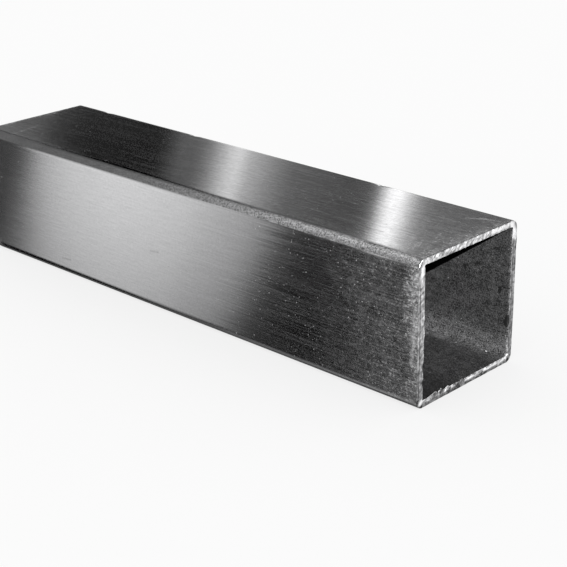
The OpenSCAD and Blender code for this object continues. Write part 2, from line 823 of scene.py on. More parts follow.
@dataclass(frozen=True)
class Specks(Pattern):
    """Small soft dots at random places, of random sizes and strengths, up to 1 at their middles."""

    spacing: float = 0.001
    size: float = 0.3
    share: float = 0.3
    shift: float = 0.0
    sizes: ClassVar[Gain] = (0.7, 0.3)
    strengths: ClassVar[Gain] = (0.75, 0.25)
    core: ClassVar[float] = 0.45

    @staticmethod
    def wire(wires: Wiring, given: SimpleNamespace) -> Signal:
        """Puts a dot in some of the cells of a random lattice.

        Args:
            wires: Wiring of the group.
            given: The dots' spacing, size, share and shift.

        Returns:
            The dots.
        """
        spot = wires.spot(wires.place(), given.shift, *[given.spacing] * 3)
        cells = wires.add("TexVoronoi", {"Vector": spot, "Scale": 1.0}, voronoi_dimensions="3D", feature="F1")
        chosen, bulk, strength = wires.split("SeparateColor", Signal(wires, cells.outputs["Color"]))
        size = bulk.line(*Specks.sizes) * given.size
        dot = Signal(wires, cells.outputs["Distance"]).rise(size, size * Specks.core)
        return dot * strength.line(*Specks.strengths) * chosen.below(given.share)


@dataclass(frozen=True)
class SawStrokes(Pattern):
    """Long strokes across an end at one slant, from 0 to 1."""

    lay: float = 0.6
    width: float = 0.0008
    length: float = 0.006
    shift: float = 0.0

    @staticmethod
    def wire(wires: Wiring, given: SimpleNamespace) -> Signal:
        """Stretches noise along the strokes.

        Args:
            wires: Wiring of the group.
            given: The strokes' lay, width, length and shift.

        Returns:
            The strokes.
        """
        turned = {"Vector": wires.place(), "Angle": given.lay * -1.0}
        place = wires.put("VectorRotate", turned, rotation_type="X_AXIS")
        return wires.noise(wires.spot(place, given.shift, given.length, given.length, given.width))


@dataclass(frozen=True)
class CutWear(Pattern):
    """A share that is 1 at the saw cuts and falls to 0 inwards, with a ragged front."""

    reach: float = 0.003
    ragged: float = 0.001
    pitch: float = 0.002
    far_share: float = 1.0

    @staticmethod
    def wire(wires: Wiring, given: SimpleNamespace) -> Signal:
        """Measures how far each point is from both ends.

        Args:
            wires: Wiring of the group.
            given: The wear's reach, raggedness, pitch and share of the reach at the far end.

        Returns:
            The share.
        """
        place = wires.place()
        x = wires.split("SeparateXYZ", place)[0]
        inset = (wires.noise(place, 1.0 / given.pitch, detail=3.0) - 0.5) * given.ragged + STOCK.half_length
        near = (inset - x).rise(given.reach, 0.0)
        return near.at_least((inset + x).rise(given.reach * given.far_share, 0.0))


@dataclass(frozen=True)
class Stroke(Pattern):
    """One soft stroke between two points, for a scratch, a scuff or a smudge."""

    start: Point = (0.0, 0.0, 0.0)
    end: Point = (0.01, 0.0, 0.0)
    width: float = 0.0005
    ragged: float = 0.0
    crumbs: ClassVar[float] = 1400.0

    @staticmethod
    def wire(wires: Wiring, given: SimpleNamespace) -> Signal:
        """Measures how far each point is from the stroke's line.

        Args:
            wires: Wiring of the group.
            given: The stroke's start, end, width and raggedness.

        Returns:
            The stroke, 1 at its middle.
        """
        place = wires.place()
        crumbs = wires.noise(place, Stroke.crumbs, output="Color")
        shift = wires.scaled(wires.vector("SUBTRACT", crumbs, (0.5, 0.5, 0.5)), given.ragged)
        from_start = wires.vector("SUBTRACT", wires.vector("ADD", place, shift), given.start)
        run = wires.vector("SUBTRACT", given.end, given.start)
        gone, whole = (wires.vector("DOT_PRODUCT", one, run, output="Value") for one in (from_start, run))
        nearest = wires.scaled(run, wires.math("DIVIDE", gone, whole, clamp=True))
        away = wires.vector("SUBTRACT", from_start, nearest)
        return wires.vector("LENGTH", away, output="Value").rise(given.width, 0.0)


@dataclass(frozen=True)
class CombedNormal(Pattern):
    """The surface's normal, tipped a little along the tube by every brush line and by grit."""

    comb: float = 0.008
    length: float = 0.03
    width: float = 0.0004
    grit: float = 0.004
    pitch: float = 0.0004
    output_kind: ClassVar[str] = "NodeSocketVector"

    @staticmethod
    def wire(wires: Wiring, given: SimpleNamespace) -> Signal:
        """Adds a slope along the tube to the normal.

        Args:
            wires: Wiring of the group.
            given: Slope, length and width of the lines, and slope and pitch of the grit.

        Returns:
            The normal.
        """
        lines = BrushLines(contrast=2.0, detail=1.0, shift=11.0)
        lines = lines.draw(wires, length=given.length, width=given.width)
        grit = Grain(contrast=2.5, shift=0.3).draw(wires, pitch=given.pitch)
        slope = (grit - 0.5).line(given.grit, (lines - 0.5) * given.comb)
        axis = wires.put("VectorTransform", {"Vector": (1.0, 0.0, 0.0)}, vector_type="VECTOR",
                         convert_from="OBJECT", convert_to="WORLD")
        normal = wires.put("NewGeometry", {}, "Normal")
        return wires.vector("NORMALIZE", wires.vector("ADD", normal, wires.scaled(axis, slope)))


@dataclass(frozen=True)
class Mark:
    """A scratch, smudge or stain, from one point to another, that changes the brightness or dulls."""

    start: Point
    end: Point
    width: float
    change: float = 0.0
    dulls: float = 0.0
    ragged: float = 0.0

    def stroke(self, wires: Wiring) -> Signal:
        """Draws the mark's stroke."""
        return Stroke(self.start, self.end, self.width, self.ragged).draw(wires)


def new_material(name: str) -> tuple[bpy.types.Material, Wiring]:
    """Makes an empty material.

    Args:
        name: Its name.

    Returns:
        The material and the wiring of its tree.
    """
    made = bpy.data.materials.new(name)
    made.use_nodes = True
    return made, Wiring(made.node_tree)


@dataclass(frozen=True)
class Finish:
    """What every finish of the tube shares: bare steel of one tint, made uneven by patterns."""

    name: str = "bare_steel"
    tint: Point = (1.0, 1.0, 1.012)
    dimmest: float = 0.01
    marks: tuple[Mark, ...] = ()

    def looks(self, wires: Wiring) -> Looks:
        """Gives the metal shader's inputs by name."""
        raise NotImplementedError

    def material(self) -> bpy.types.Material:
        """Builds the material round its metal shader.

        Returns:
            The material.
        """
        made, wires = new_material(self.name)
        shader = wires.put("BsdfPrincipled", {"Metallic": 1.0, **self.looks(wires)}, "BSDF")
        wires.add("OutputMaterial", {"Surface": shader})
        return made

    def uneven(self, wires: Wiring, value: Number, *layers: tuple[Pattern, float]) -> Signal:
        """Makes a brightness uneven by patterns.

        Args:
            wires: The material's wiring.
            value: The brightness.
            layers: The patterns, each with an amount of its own.

        Returns:
            The uneven brightness.
        """
        for pattern, amount in layers:
            value = (pattern.draw(wires) - 0.5).line(amount, value)
        return value

    def marked(self, wires: Wiring, value: Signal) -> Signal:
        """Changes a brightness along the finish's single marks.

        Args:
            wires: The material's wiring.
            value: The brightness.

        Returns:
            The changed brightness.
        """
        for mark in self.marks:
            if mark.change:
                value = mark.stroke(wires).line(mark.change, value)
        return value.at_least(self.dimmest)

    def relief(self, wires: Wiring, height: Signal, strength: float, distance: float) -> Signal:
        """Tilts the normal by a height, given in metres at full height."""
        return wires.put("Bump", {"Strength": strength, "Distance": distance, "Height": height})


@dataclass(frozen=True)
class BrushedFlat(Finish):
    """A pair of flats: brushed lengthwise, with specks and a gritty haze that thicken towards a cut."""

    name: str = "brushed_upright"
    brightness: float = 0.60
    roughness: float = 0.108
    anisotropy: float = 1.0
    combed: CombedNormal = CombedNormal()
    comb_ramp: Ramp = (-0.030, 0.030, 0.0018, 0.00648)
    lines: tuple[BrushLines, float] = (BrushLines(length=0.008, contrast=1.8), 0.10)
    mottle: tuple[Grain, float] = (Grain(0.0008, 2.0, 6.0), 0.10)
    film_lines: BrushLines = BrushLines(length=0.030, width=0.0004, contrast=3.0, detail=1.5, shift=31.0)
    film_grain: Grain = Grain(0.0009, 3.0, 4.4)
    film_mix: float = 0.75
    film_share: float = 0.015
    film_power: float = 2.0
    film_cap: float = 0.5
    film_gain: Gain = (1.6, 0.5)
    haze_share: float = 0.12
    haze_tilt: float = 0.0
    haze_wear: CutWear = CutWear(reach=0.042, ragged=0.012, pitch=0.008, far_share=0.05)
    fringe_share: float = 0.50
    fringe_wear: CutWear = CutWear(reach=0.0056, ragged=0.005, pitch=0.0025, far_share=0.6)
    fringe_ramp: Ramp = (0.013, 0.030, 0.2, 1.0)
    haze_strokes: BrushLines = BrushLines(length=0.0018, width=0.0004, contrast=2.6, detail=3.0, shift=21.0)
    haze_grit: Grain = Grain(0.0006, 2.4, 0.7)
    haze_mix: tuple[float, float] = (0.4, 0.6)
    haze_power: float = 4.0
    haze_gain: Gain = (5.5, 0.4)
    haze_patches: tuple[tuple[Grain, Gain], ...] = (
        (Grain(0.0022, 3.0, 2.7), (0.9, 0.55)),
        (Grain(0.007, 3.0, 1.9), (0.8, 0.6)),
    )
    speck_wear: CutWear = CutWear(reach=0.11, ragged=0.02, pitch=0.02, far_share=0.05)
    speck_clusters: Grain = Grain(0.009, 4.0, 5.37)
    cluster_gain: Gain = (2.0, 0.1)
    speck_share: float = 0.13
    stray_share: float = 0.002
    fine_specks: Specks = Specks(spacing=0.0005, size=0.34)
    large_specks: Specks = Specks(spacing=0.0011, size=0.18, shift=3.37)
    large_share: float = 0.7
    faint_specks: Specks = Specks(spacing=0.0007, size=0.5, shift=8.0)
    faint_share: float = 2.5
    faintness: float = 0.3
    dots: Specks = Specks(spacing=0.0055, size=0.085, share=0.6, shift=2.9)
    dot_strength: float = 0.06
    speck_glint_brightness: float = 0.6
    speck_roughness: float = 0.5

    def haze(self, wires: Wiring) -> Signal:
        """Makes the share that grit has dulled: short strokes, thicker towards the near cut.

        Args:
            wires: The material's wiring.

        Returns:
            The share.
        """
        _, across, up = wires.split("SeparateXYZ", wires.place())
        fringe = self.fringe_wear.draw(wires) * up.rise(*self.fringe_ramp)
        tilted = across.line(-self.haze_tilt / STOCK.half_side, 1.0)
        share = fringe.line(self.fringe_share, self.haze_wear.draw(wires) * tilted * self.haze_share)
        grit = self.haze_grit.draw(wires) * self.haze_mix[1]
        mixed = self.haze_strokes.draw(wires).line(self.haze_mix[0], grit)
        share = share * (mixed ** self.haze_power).line(*self.haze_gain)
        for patches, gain in self.haze_patches:
            share = share * patches.draw(wires).line(*gain)
        return share

    def film(self, wires: Wiring, wear: Signal) -> Signal:
        """Makes the thin share that brush lines dull everywhere, so that dark reflections show them too.

        Args:
            wires: The material's wiring.
            wear: How near the cuts are.

        Returns:
            The share.
        """
        grain = self.film_grain.draw(wires) * (1.0 - self.film_mix)
        mixed = self.film_lines.draw(wires).line(self.film_mix, grain)
        spiky = (mixed * 2.0) ** self.film_power * self.film_share
        return spiky.at_most(self.film_cap) * wear.line(*self.film_gain)

    def specks(self, wires: Wiring, wear: Signal) -> Signal:
        """Makes bright specks in loose clusters, with a few strays all over.

        Args:
            wires: The material's wiring.
            wear: How near the cuts are.

        Returns:
            The specks.
        """
        clusters = self.speck_clusters.draw(wires).line(*self.cluster_gain)
        share = wear * self.speck_share * clusters + self.stray_share
        fine = self.fine_specks.draw(wires, share=share)
        large = self.large_specks.draw(wires, share=share * self.large_share)
        faint = self.faint_specks.draw(wires, share=share * self.faint_share) * self.faintness
        dots = self.dots.draw(wires) * self.dot_strength
        return fine.at_least(large).at_least(faint.at_least(dots))

    def looks(self, wires: Wiring) -> Looks:
        """Works out the shader's inputs.

        Args:
            wires: The material's wiring.

        Returns:
            The inputs by name.
        """
        wear = self.speck_wear.draw(wires)
        specks = self.specks(wires, wear)
        share = self.haze(wires) + self.film(wires, wear)
        for mark in self.marks:
            if mark.dulls:
                share = mark.stroke(wires).line(mark.dulls, share)
        value = self.uneven(wires, self.brightness, self.lines, self.mottle)
        # The specks are real grit, and their bright colour is painted glints off it
        value = self.marked(wires, wires.blend(specks, value, self.speck_glint_brightness))
        comb = wires.split("SeparateXYZ", wires.place())[0].rise(*self.comb_ramp)
        return {
            "Base Color": wires.scaled(self.tint, value),
            "Metallic": wires.math("SUBTRACT", 1.0, specks.at_least(share), clamp=True),
            "Roughness": wires.blend(specks, self.roughness, self.speck_roughness),
            "Anisotropic": self.anisotropy,
            "Tangent": wires.put("Tangent", {}, direction_type="RADIAL", axis="X"),
            "Normal": self.combed.draw(wires, comb=comb),
        }


@dataclass(frozen=True)
class RolledCorner(Finish):
    """The rolled corners, which the brushes missed: matt, gritty scale, with painted shade towards the level
    flats and at the foot, and partly painted light towards the near cut.
    """

    name: str = "rolled_corner"
    brightness: float = 0.108
    wear_and_key_light_gain: float = 0.31
    worn_power: float = 1.6
    wear: CutWear = CutWear(reach=0.15, ragged=0.01, pitch=0.02, far_share=0.03)
    pits: Grain = Grain(0.0004, 3.2, 0.9)
    pit_gain: Gain = (0.66, 0.05)
    pit_relief: float = 0.00006
    pit_strength: float = 0.7
    patches: Grain = Grain(0.004, 1.4, 2.0)
    patch_gain: float = 0.03
    roughness: float = 0.6
    roughness_gain: float = 0.12
    shine: float = 0.2
    fade: Span = (0.55, 0.92)
    far_painted_shade: Ramp = (-0.078, -0.042, -0.05, -0.83)
    near_painted_light: Ramp = (0.02, 0.05, 0.0, 0.18)
    low_painted_shade: Ramp = (0.02, 0.07, 0.0, -0.45)
    low_painted_part: Span = (0.6, 0.2)
    foot_painted_shade: float = 0.07
    foot_shade_heights: Span = (0.0045, 0.0015)
    tip_gap: float = 0.0006
    tip_round: float = 0.0024
    tip_middle: float = 0.45
    tip_half: float = 0.35
    tip_value: float = 0.15
    darkest: float = 0.02

    def past_tip(self, along: Signal, place: Signal) -> Signal:
        """Marks the corner's last stretch before the near cut, where the gritty strip ends in a round tip.

        Args:
            along: X of the surface point.
            place: Place on the bend.

        Returns:
            A share that is 1 past the tip.
        """
        aside = (place - self.tip_middle) / self.tip_half
        from_tip = STOCK.half_length - along - (aside * aside).line(self.tip_round, self.tip_gap)
        return from_tip.rise(self.tip_gap / 2.0, -self.tip_gap / 2.0)

    def looks(self, wires: Wiring) -> Looks:
        """Works out the shader's inputs.

        Args:
            wires: The material's wiring.

        Returns:
            The inputs by name.
        """
        along, across, up = wires.split("SeparateXYZ", wires.place())
        # Place on the bend: 0 where it leaves an upright wall, 1 where it meets a level one
        upwards = abs(up - STOCK.half_side) - STOCK.half_flat
        place = wires.math("ARCTAN2", upwards, abs(across) - STOCK.half_flat) / (math.pi / 2.0)
        pitted, patches = self.pits.draw(wires), self.patches.draw(wires) - 0.5
        wear = self.wear.draw(wires) ** self.worn_power
        # Brighter towards the near cut: real wear and grit, with painted key light as well
        value = wear.line(self.wear_and_key_light_gain, self.brightness) + (pitted - 0.5) * wear.line(*self.pit_gain)
        value = patches.line(self.patch_gain, value)
        # Painted shade: darker low on the bend towards the near cut
        value = value * (along.rise(*self.low_painted_shade) * place.rise(*self.low_painted_part) + 1.0)
        # Painted shade on the bend's upper part towards the level flat, least at the far end and eased near
        # the near cut, standing in for the dark room that the metal would mirror
        shade = along.rise(*self.far_painted_shade) + along.rise(*self.near_painted_light)
        value = value * place.rise(*self.fade).line(shade, 1.0)
        value = wires.blend(self.past_tip(along, place), value, self.tip_value)
        # Painted shade at the foot of the bottom corners, next to the floor
        value = wires.blend(up.rise(*self.foot_shade_heights), value, self.foot_painted_shade)
        return {
            "Base Color": wires.scaled(self.tint, value.at_least(self.darkest)),
            "Metallic": 0.0,
            "Specular IOR Level": self.shine,
            "Roughness": patches.line(self.roughness_gain, self.roughness),
            "Normal": self.relief(wires, pitted * wear, self.pit_strength, self.pit_relief),
        }


@dataclass(frozen=True)
class RawInside(Finish):
    """The inside: dark, grainy mill finish with blotches, a few bright specks and dark pits, with painted
    shade in its corners and pits and painted light low down and in the key lamp's shadow.
    """

    name: str = "raw_inside"
    brightness: float = 0.030
    grain: Grain = Grain(0.0004, 3.0)
    grain_gain: float = 0.050
    layers: tuple[tuple[Pattern, float], ...] = (
        (Grain(0.0012, 3.0, 7.3), 0.020),
        (Grain(0.003, 2.4, 3.0), 0.020),
        (BrushLines(length=0.02, width=0.0011, contrast=1.6, shift=4.0), 0.016),
    )
    dots: Specks = Specks(spacing=0.0016, size=0.3, share=0.16, shift=9.0)
    dot_gain: float = 0.12
    roughness: float = 0.57
    roughness_gain: float = 0.1
    grain_relief: float = 0.00005
    grain_strength: float = 0.7
    painted_bounce_ramp: Ramp = (0.0105, 0.003, 1.0, 2.25)
    floor_heights: Span = (0.0026, 0.0021)
    floor_share: float = 0.34
    floor_front: Ramp = (-0.007, -0.001, 0.6, 1.0)
    floor_back: Ramp = (0.0130, 0.0168, 1.0, 2.2)
    unlit_matt: float = -0.5
    painted_fill_gain: float = 6.0
    mouth: float = -0.018
    shadow_slope: float = 0.741
    shadow_fade: Span = (-0.0005, -0.006)
    painted_corner_shade: float = -0.20
    painted_corner_shade_reach: float = 0.0009
    marks: tuple[Mark, ...] = (
        # The first three marks are painted shade in the back wall's pits, the fourth is painted shade in the
        # notch at the mouth's edge, and the last is a bright speck on the floor
        Mark((0.0762, 0.018, 0.0251), (0.0769, 0.018, 0.0256), 0.0010, -0.04, ragged=0.002),
        Mark((0.0841, 0.018, 0.0195), (0.0841, 0.018, 0.0206), 0.0008, -0.05, ragged=0.0015),
        Mark((0.0724, 0.018, 0.0236), (0.0734, 0.018, 0.0242), 0.0007, -0.03, ragged=0.002),
        Mark((0.0866, 0.018, 0.0112), (0.0873, 0.018, 0.0127), 0.0011, -0.5, ragged=0.0012),
        Mark((0.0815, 0.0168, 0.002), (0.0816, 0.0168, 0.002), 0.0004, 0.6),
    )

    def looks(self, wires: Wiring) -> Looks:
        """Works out the shader's inputs.

        Args:
            wires: The material's wiring.

        Returns:
            The inputs by name.
        """
        along, across, up = wires.split("SeparateXYZ", wires.place())
        grain = self.grain.draw(wires)
        value = self.uneven(wires, (grain - 0.5).line(self.grain_gain, self.brightness), *self.layers)
        # The walls are painted brighter low down, as painted light bounced from the floor
        value = self.dots.draw(wires).line(self.dot_gain, value) * up.rise(*self.painted_bounce_ramp)
        # The key lamp leaves what lies past a slanted line from the front wall's edge in shadow. There the
        # colour is painted brighter, as painted fill light, and the floor's darker tone is left out.
        from_line = (STOCK.half_length - along).line(-self.shadow_slope, across - self.mouth)
        unlit = from_line.rise(*self.shadow_fade)
        on_floor = up.rise(*self.floor_heights) * (1.0 - unlit)
        tone = across.rise(*self.floor_front) * across.rise(*self.floor_back) * self.floor_share
        value = value * wires.blend(on_floor, 1.0, tone) * unlit.line(self.painted_fill_gain, 1.0)
        # Painted shade darkens the four lengthwise corners
        from_corner = STOCK.half_side - STOCK.wall - abs(across).at_most(abs(up - STOCK.half_side))
        value = value * from_corner.rise(self.painted_corner_shade_reach, 0.0, 1.0, 1.0 + self.painted_corner_shade)
        return {
            "Base Color": wires.scaled(self.tint, self.marked(wires, value)),
            "Metallic": unlit.line(self.unlit_matt, 1.0),
            "Roughness": grain.line(self.roughness_gain, self.roughness),
            "Normal": self.relief(wires, grain, self.grain_strength, self.grain_relief),
        }


@dataclass(frozen=True)
class Shade:
    """How much darker the cut is on one wall, along a direction: up, across, or depth from outside."""

    wall: Wall
    direction: str
    loss: Ramp


@dataclass(frozen=True)
class SawnEnd(Finish):
    """The saw cuts: bright torn metal with slanted strokes, upright ones on the back wall."""

    name: str = "sawn_end"
    brightness: float = 0.92
    stroke_loss: float = -0.85
    strokes: tuple[SawStrokes, ...] = (SawStrokes(width=0.0008, length=0.006),
                                       SawStrokes(width=0.0004, length=0.003, shift=3.0))
    stroke_spans: tuple[Span, ...] = ((0.50, 0.62), (0.5, 0.66))
    stroke_mix: tuple[float, float] = (0.6, 0.4)
    lays: tuple[float, float] = (math.radians(35.0), math.radians(88.0))
    back_edge: Span = (0.0023, 0.0018)
    front_calm: Ramp = (0.0022, 0.0018, 1.0, 0.75)
    busy: Grain = Grain(0.004, 3.0, 4.0)
    busy_ramp: Ramp = (0.3, 0.65, 0.45, 1.0)
    patches: Grain = Grain(0.0012, 2.4, 1.0)
    patch_gain: float = 0.25
    roughness: float = 0.45
    roughness_gain: float = 0.2
    groove_place: float = 0.00075
    groove_shade_ramp: Ramp = (0.00038, 0.000114, 1.0, 0.4)
    torn_slant: float = 0.0010
    torn_lip_shade_ramp: Ramp = (0.0013, 0.0011, 1.0, 0.45)
    wall_edges: tuple[Span, ...] = ((0.0025, 0.0020), (0.0019, 0.0017), (0.0025, 0.0020), (0.0030, 0.0025))
    shades: tuple[Shade, ...] = (
        Shade(Wall.FRONT, "up", (0.004, 0.020, 0.60, 0.36)),
        Shade(Wall.FRONT, "depth", (0.0009, 0.0013, 0.0, 0.10)),
        Shade(Wall.BACK, "depth", (0.0007, 0.0018, 0.60, 0.80)),
        Shade(Wall.TOP, "depth", (0.0004, 0.0010, 0.0, 0.25)),
        Shade(Wall.TOP, "depth", (0.00018, 0.00006, 0.0, 0.5)),
        Shade(Wall.BOTTOM, "across", (-0.014, 0.016, 0.38, 0.0)),
    )
    chips: Grain = Grain(0.0014, 3.0, 8.0)
    chip_loss: Ramp = (0.5, 0.64, 0.12, 0.75)
    chip_fall: Ramp = (0.006, 0.016, 1.0, 0.25)
    stroke_relief: float = 0.00005
    stroke_strength: float = 0.6
    far_matt: Ramp = (0.01, -0.01, 0.0, 0.45)
    mark_matt: float = 0.9
    darkest: float = 0.03
    marks: tuple[Mark, ...] = (
        Mark((0.0875, -0.0186, 0.0016), (0.0875, -0.0168, 0.0024), 0.0012, 1.0),
        Mark((0.0875, -0.0190, 0.0350), (0.0875, -0.0178, 0.0388), 0.0011, 0.5),
        Mark((0.0875, 0.0000, 0.0014), (0.0875, 0.0035, 0.0013), 0.0007, 0.5),
        Mark((0.0875, 0.0082, 0.0013), (0.0875, 0.0130, 0.0015), 0.0007, 0.5),
        Mark((0.0875, 0.0190, 0.0360), (0.0875, 0.0180, 0.0390), 0.0016, 0.8),
        Mark((0.0875, 0.0090, 0.0391), (0.0875, 0.0160, 0.0391), 0.0008, 0.35),
        Mark((0.0875, 0.0145, 0.0011), (0.0875, 0.0184, 0.0020), 0.0009, 0.35),
        Mark((0.0875, -0.0186, 0.0003), (0.0875, -0.0176, 0.0003), 0.0004, -0.9),
    )

    def tone(self, wires: Wiring, across: Signal, up: Signal) -> Signal:
        """Works out how much darker the cut is on each wall, and towards the hollow or the outer edge.

        Args:
            wires: The material's wiring.
            across: Y of the surface point.
            up: Z of the surface point.

        Returns:
            A factor for the brightness.
        """
        depths = (across + STOCK.half_side, 2.0 * STOCK.half_side - up, STOCK.half_side - across, up)
        on = [depth.rise(*edge) for depth, edge in zip(depths, self.wall_edges)]
        chipped = self.chips.draw(wires).rise(*self.chip_loss) * across.rise(*self.chip_fall)
        tone = 1.0 - on[Wall.BOTTOM] * chipped
        for shade in self.shades:
            along = {"up": up, "across": across, "depth": depths[shade.wall]}[shade.direction]
            tone = tone * (1.0 - on[shade.wall] * along.rise(*shade.loss))
        return tone

    def sawing(self, wires: Wiring, lay: float) -> Signal:
        """Makes strokes at one slant.

        Args:
            wires: The material's wiring.
            lay: Their slant from level.

        Returns:
            The strokes, which are 1 where the saw left a dark mark.
        """
        coarse, fine = (strokes.draw(wires, lay=lay).rise(*span) * share
                        for strokes, span, share in zip(self.strokes, self.stroke_spans, self.stroke_mix))
        return coarse + fine

    def looks(self, wires: Wiring) -> Looks:
        """Works out the shader's inputs.

        Args:
            wires: The material's wiring.

        Returns:
            The inputs by name.
        """
        along, across, up = wires.split("SeparateXYZ", wires.place())
        from_front = across + STOCK.half_side
        slanted, upright = (self.sawing(wires, lay) for lay in self.lays)
        sawn = wires.blend((STOCK.half_side - across).rise(*self.back_edge), slanted, upright)
        sawn = sawn * from_front.rise(*self.front_calm) * self.busy.draw(wires).rise(*self.busy_ramp)
        patches = self.patches.draw(wires) - 0.5
        value = patches.line(self.patch_gain, sawn.line(self.stroke_loss, self.brightness))
        # Painted shade in the groove near the outer face
        value = value * abs(from_front - self.groove_place).rise(*self.groove_shade_ramp)
        # Painted shade on the lower part of the cut, below the torn lip
        value = value * slanted.line(self.torn_slant, up).rise(*self.torn_lip_shade_ramp)
        value = value * self.tone(wires, across, up)
        matt = along.rise(*self.far_matt)
        for mark in self.marks:
            stroke = mark.stroke(wires)
            value = stroke.line(mark.change, value)
            if mark.change > 0.0:
                matt = matt.at_least(stroke * self.mark_matt)
        value = value.at_least(self.darkest).at_most(1.0)
        return {
            "Base Color": wires.scaled(self.tint, value),
            "Metallic": 1.0 - matt,
            "Roughness": patches.line(self.roughness_gain, self.roughness),
            "Normal": self.relief(wires, sawn, self.stroke_strength, self.stroke_relief),
        }


def hang(name: str, data: bpy.types.ID) -> bpy.types.Object:
    """Makes an object of some data and puts it in the scene.

    Args:
        name: Its name.
        data: Its mesh, lamp or camera.

    Returns:
        The object.
    """
    thing = bpy.data.objects.new(name, data)
    bpy.context.scene.collection.objects.link(thing)
    return thing


def reflections_only(thing: bpy.types.Object) -> None:
    """Hides a thing of the studio from all rays but reflected ones."""
    for ray in ("camera", "diffuse", "transmission", "volume_scatter", "shadow"):
        setattr(thing, f"visible_{ray}", False)


def mirrored(*stops: tuple[float, float]) -> Stops:
    """Repeats the stops of a card's one half in the other half."""
    return tuple((-place, glow) for place, glow in reversed(stops) if place) + stops


@dataclass(frozen=True)
class Card:
    """A lit card of a round studio tunnel about the tube's length, which only reflections show.

    Slants are X over the tunnel's radius. Turns are 0 behind the tube and 90 above it. Copies stand
    on the other end's side and on the other long side.
    """

    name: str
    slants: Stops
    turns: Stops
    taper: float = 0.0
    taper_from: float = 207.0
    narrowest: float = 0.2
    middle: float = 0.0
    radius: float = 30.0
    radius_steps: tuple[float, float] = (0.5, 1.0)
    cells: tuple[int, int] = (96, 24)
    copied: tuple[bool, bool] = (True, True)

    def build(self, mirror_x: bool = False, mirror_y: bool = False, share: float = 1.0) -> None:
        """Builds the card, or its mirror image, and hides it from everything but reflections.

        Args:
            mirror_x: Whether it stands on the other end's side.
            mirror_y: Whether it stands on the other long side.
            share: Share of its glow.
        """
        slant_stops, slant_glow = zip(*self.slants)
        turn_stops, turn_glow = zip(*self.turns)
        slants = np.linspace(slant_stops[0], slant_stops[-1], self.cells[0] + 1)
        turns = np.linspace(turn_stops[0], turn_stops[-1], self.cells[1] + 1)
        slant, turn = (part.ravel() for part in np.meshgrid(slants, turns, indexing="ij"))
        glow = np.interp(slant, slant_stops, slant_glow) * np.interp(turn, turn_stops, turn_glow) * share
        narrowing = 1.0 - self.taper * np.clip(turn - self.taper_from, 0.0, None)
        slant = self.middle + (slant - self.middle) * np.clip(narrowing, self.narrowest, 1.0)
        # Each copy has a radius of its own, so that no two cards share a surface
        radius = self.radius + self.radius_steps[0] * mirror_x + self.radius_steps[1] * mirror_y
        x, y = radius * slant, radius * np.cos(np.radians(turn))
        z = radius * np.sin(np.radians(turn)) + STOCK.half_side
        points = np.stack([-x if mirror_x else x, -y if mirror_y else y, z], axis=-1)
        wide = self.cells[1] + 1
        faces = [(i * wide + j, i * wide + j + 1, (i + 1) * wide + j + 1, (i + 1) * wide + j)
                 for i in range(self.cells[0]) for j in range(self.cells[1])]
        name = f"{self.name}_{int(mirror_x)}{int(mirror_y)}"
        mesh = bpy.data.meshes.new(name)
        mesh.from_pydata(points.tolist(), [], faces)
        mesh.attributes.new("glow", "FLOAT", "POINT").data.foreach_set("value", glow)
        mesh.materials.append(self.material(name))
        card = hang(name, mesh)
        reflections_only(card)

    def material(self, name: str) -> bpy.types.Material:
        """Makes a glow that follows the card's glow attribute, and adds to what lies behind the card.

        Args:
            name: Name of the material.

        Returns:
            The material.
        """
        made, wires = new_material(name)
        # Reflected rays find the cards by themselves, so direct light is left to the lamp and the room
        made.cycles.emission_sampling = "NONE"
        glow = wires.put("Attribute", {}, "Fac", attribute_name="glow")
        both = {0: wires.put("Emission", {"Strength": glow}), 1: wires.put("BsdfTransparent", {})}
        wires.add("OutputMaterial", {"Surface": wires.put("AddShader", both)})
        return made


